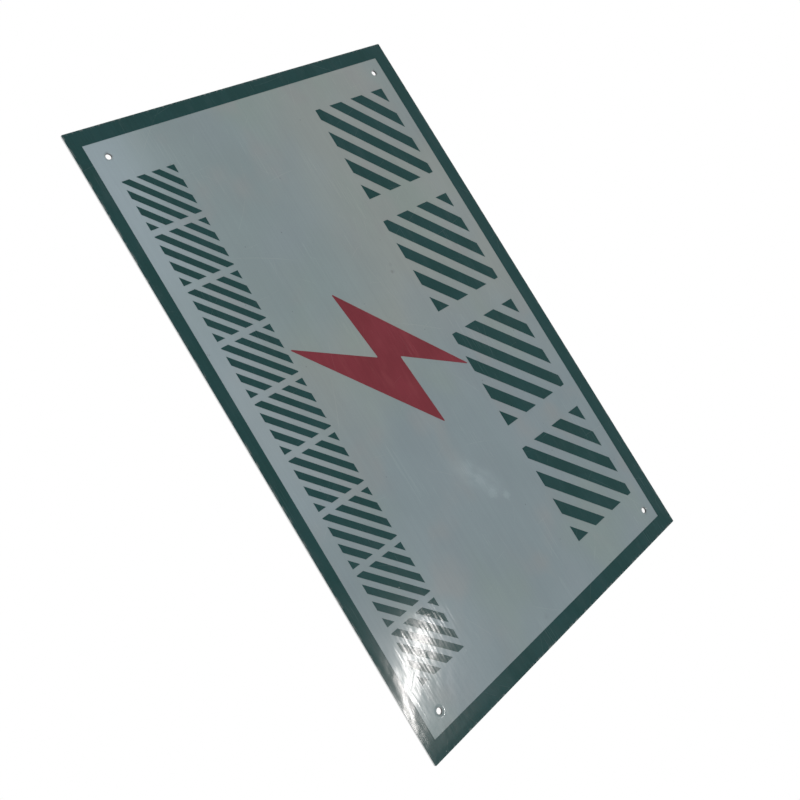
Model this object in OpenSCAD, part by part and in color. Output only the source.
// High voltage warning sign: a flat metal plate with pale sheeting, a printed border and a lightning bolt.
// The sign stands upright and faces -Y, with +X to its right and +Z up.
// The origin is the centre of the back face, which lies in the XZ plane.

/* [Plate] */
// Width of the plate
plate_w = 600; // [500:10:900]
// Height of the plate
plate_h = 400; // [340:10:600]
// Thickness of the metal
plate_t = 1.5; // [1:0.1:3]
// Radius of the plate's corners
corner_r = 1; // [0.5:0.5:12]

/* [Fixing holes] */
// Diameter of the holes
hole_d = 5.5; // [4:0.5:9]
// Distance from a hole's centre to the nearer end of the plate
hole_inset_x = 30; // [26:1:40]
// Distance from a hole's centre to the nearer long edge of the plate
hole_inset_z = 30; // [26:1:45]
// Width of the dished rim round a hole, from the hole's wall to flat plate
dish_w = 2.8; // [1:0.2:4]
// Depth of the dished rim at the hole's wall
dish_depth = 0.4; // [0.1:0.1:0.8]
// Width of bare metal between the hole's wall and the sheeting
bare_rim_w = 0.4; // [0.1:0.1:0.8]

/* [Sheeting and film] */
// Thickness of the pale sheeting
sheeting_t = 0.3; // [0.1:0.05:0.6]
// Thickness of the coloured film on the sheeting
film_t = 0.1; // [0.05:0.05:0.3]

/* [Border] */
// Width of the border at the ends of the plate, before the window's shift
border_end_w = 15.3; // [8:0.1:17]
// Width of the border along the top and bottom, before the window's shift
border_long_w = 14.4; // [8:0.1:17]
// Distance that the border's window lies right of the plate's centre
window_shift_x = -0.5; // [-2:0.1:2]
// Distance that the border's window lies above the plate's centre
window_shift_z = -2.3; // [-3:0.1:3]

/* [Upper row of striped blocks] */
// Number of blocks
upper_count = 4; // [2:1:6]
// Height of a block
upper_h = 100; // [70:1:110]
// Space between neighbouring blocks
upper_gap = 26; // [8:1:40]
// Distance from the ends of the plate to the ends of the row
upper_side_margin = 51; // [45:1:80]
// Distance that the row lies right of the plate's centre
upper_x = -2; // [-5:1:5]
// Distance from the top of the plate to the row
upper_top_margin = 33.5; // [25:0.5:50]

/* [Lower row of striped blocks] */
// Number of blocks
lower_count = 9; // [4:1:12]
// Height of a block
lower_h = 56; // [35:1:65]
// Space between neighbouring blocks
lower_gap = 6; // [3:0.5:12]
// Distance from the ends of the plate to the ends of the row
lower_side_margin = 55; // [45:1:80]
// Distance that the row lies right of the plate's centre
lower_x = 0; // [-5:1:5]
// Distance from the bottom of the plate to the row
lower_bottom_margin = 28; // [22:0.5:40]

/* [Stripes] */
// Number of stripes across a block, from corner to corner
stripe_count = 7; // [3:2:9]
// Share of a block that its stripes cover
stripe_share = 0.55; // [0.3:0.05:0.7]
// Slope of the stripes from the horizontal
stripe_angle = 45; // [30:5:60]

/* [Lightning bolt] */
// Width of the bolt, from shoulder to shoulder, as if its points were sharp
bolt_w = 157; // [100:1:200]
// Distance that the bolt's middle lies right of the plate's centre
bolt_x = -0.3; // [-40:0.1:40]
// Space between the upper row and the bolt's upper point, as if it were sharp
bolt_top_gap = 0.7; // [0.5:0.1:20]
// Space between the lower row and the bolt's lower point, as if it were sharp
bolt_bottom_gap = 2.6; // [0.5:0.1:20]
// Width of the short cut that blunts each of the bolt's corners
bolt_blunt_w = 1.1; // [0.4:0.1:3]

/* [Hidden] */

hole_x = plate_w / 2 - hole_inset_x;
hole_z = plate_h / 2 - hole_inset_z;
hole_r = hole_d / 2;
dish_r = hole_r + dish_w;
sheeting_hole_r = hole_r + bare_rim_w;
sheeting_front = plate_t + sheeting_t;

upper_z = plate_h / 2 - upper_top_margin - upper_h / 2;
lower_z = lower_bottom_margin + lower_h / 2 - plate_h / 2;
bolt_top = upper_z - upper_h / 2 - bolt_top_gap;
bolt_bottom = lower_z + lower_h / 2 + bolt_bottom_gap;
bolt_h = bolt_top - bolt_bottom;

// The bolt's corners as shares of its width and height, from its middle, clockwise from the upper point
bolt_corner_shares = [
    [0.286, 0.500],
    [0.022, 0.098],
    [0.500, 0.132],
    [-0.329, -0.500],
    [-0.036, -0.036],
    [-0.500, -0.088]
];

// Straight steps that the dished rim's curve is cut into
dish_steps = 5;
// Length by which a cut runs past the face that it opens
past = 1;

$fn = 48;

// Depth of the dished rim at radius r: a curve that leaves the flat plate smoothly
function dish_at(r) = dish_depth * pow((dish_r - r) / dish_w, 2);

// The rim's curve as [radius, height in front of the back face] points, from radius r0 out to flat plate
function rim_curve(r0, face) = [
    for (i = [0:dish_steps])
        let (r = r0 + (dish_r - r0) * i / dish_steps)
            [r, face - dish_at(r)]
];

function reversed(points) = [for (i = [len(points) - 1:-1:0]) points[i]];

function angle_between(a, b) = acos(a * b / (norm(a) * norm(b)));

// The ends of a cut of width w across corner b, whose neighbours are a and c
function blunted(a, b, c, w) =
    let (run = w / 2 / sin(angle_between(a - b, c - b) / 2))
        [for (side = [a - b, c - b]) b + side * run / norm(side)];

// Stands a shape that is drawn in the sign's own plane upright, with its thickness towards the viewer
module upright() {
    rotate([90, 0, 0]) children();
}

// A flat layer with the outline of its children and thickness t, base in front of the back face
module layer(base, t) {
    upright() translate([0, 0, base]) linear_extrude(t) children();
}

module at_holes() {
    upright()
        for (x = [-hole_x, hole_x], z = [-hole_z, hole_z])
            translate([x, z, 0]) children();
}

module plate_outline() {
    square([plate_w - 2 * corner_r, plate_h], center = true);
    square([plate_w, plate_h - 2 * corner_r], center = true);
    for (x = [-1, 1], z = [-1, 1])
        translate([x * (plate_w / 2 - corner_r), z * (plate_h / 2 - corner_r)]) circle(corner_r);
}

module window_outline() {
    translate([window_shift_x, window_shift_z])
        square([plate_w - 2 * border_end_w, plate_h - 2 * border_long_w], center = true);
}

// One block of slanting stripes, whose outermost stripes end in two of the block's corners
module striped_outline(w, h) {
    reach = w * sin(stripe_angle) + h * cos(stripe_angle);
    stripe_pitch = reach / (stripe_count - 1 + stripe_share);
    stripe_w = stripe_pitch * stripe_share;
    intersection() {
        square([w, h], center = true);
        rotate(stripe_angle)
            for (i = [0:stripe_count - 1])
                translate([0, (i - (stripe_count - 1) / 2) * stripe_pitch])
                    square([w + h, stripe_w], center = true);
    }
}

// A row of equal blocks that fills the plate's width between the side margins
module block_row(count, h, gap, side_margin, x, z) {
    w = (plate_w - 2 * side_margin - (count - 1) * gap) / count;
    for (i = [0:count - 1])
        translate([x + (i - (count - 1) / 2) * (w + gap), z]) striped_outline(w, h);
}

// The metal blank, punched from the front, so that its face dips towards each hole
module plate() {
    color("silver")
        difference() {
            layer(0, plate_t) plate_outline();
            at_holes() translate([0, 0, -past]) cylinder(h = plate_t + 2 * past, r = hole_r);
            at_holes()
                rotate_extrude()
                    polygon(concat(
                        rim_curve(hole_r, plate_t),
                        [[dish_r, plate_t + past], [0, plate_t + past], [0, plate_t - dish_depth]]
                    ));
        }
}

// The pale sheeting, bonded to the whole front and drawn down into the dished rims
module sheeting() {
    color("lightsteelblue") {
        difference() {
            layer(plate_t, sheeting_t) plate_outline();
            at_holes() translate([0, 0, plate_t - past])
                cylinder(h = sheeting_t + 2 * past, r = dish_r);
        }
        at_holes()
            rotate_extrude()
                polygon(concat(
                    rim_curve(sheeting_hole_r, plate_t),
                    reversed(rim_curve(sheeting_hole_r, sheeting_front))
                ));
    }
}

module border() {
    color("darkslategray")
        layer(sheeting_front, film_t)
            difference() {
                plate_outline();
                window_outline();
            }
}

module bolt() {
    sharp = [for (c = bolt_corner_shares) [c.x * bolt_w, c.y * bolt_h]];
    n = len(sharp);
    color("firebrick")
        layer(sheeting_front, film_t)
            translate([bolt_x, (bolt_top + bolt_bottom) / 2])
                polygon([
                    for (i = [0:n - 1])
                        each blunted(sharp[(i + n - 1) % n], sharp[i], sharp[(i + 1) % n], bolt_blunt_w)
                ]);
}

module upper_blocks() {
    color("darkslategray")
        layer(sheeting_front, film_t)
            block_row(upper_count, upper_h, upper_gap, upper_side_margin, upper_x, upper_z);
}

module lower_blocks() {
    color("darkslategray")
        layer(sheeting_front, film_t)
            block_row(lower_count, lower_h, lower_gap, lower_side_margin, lower_x, lower_z);
}

plate();
sheeting();
border();
bolt();
upper_blocks();
lower_blocks();
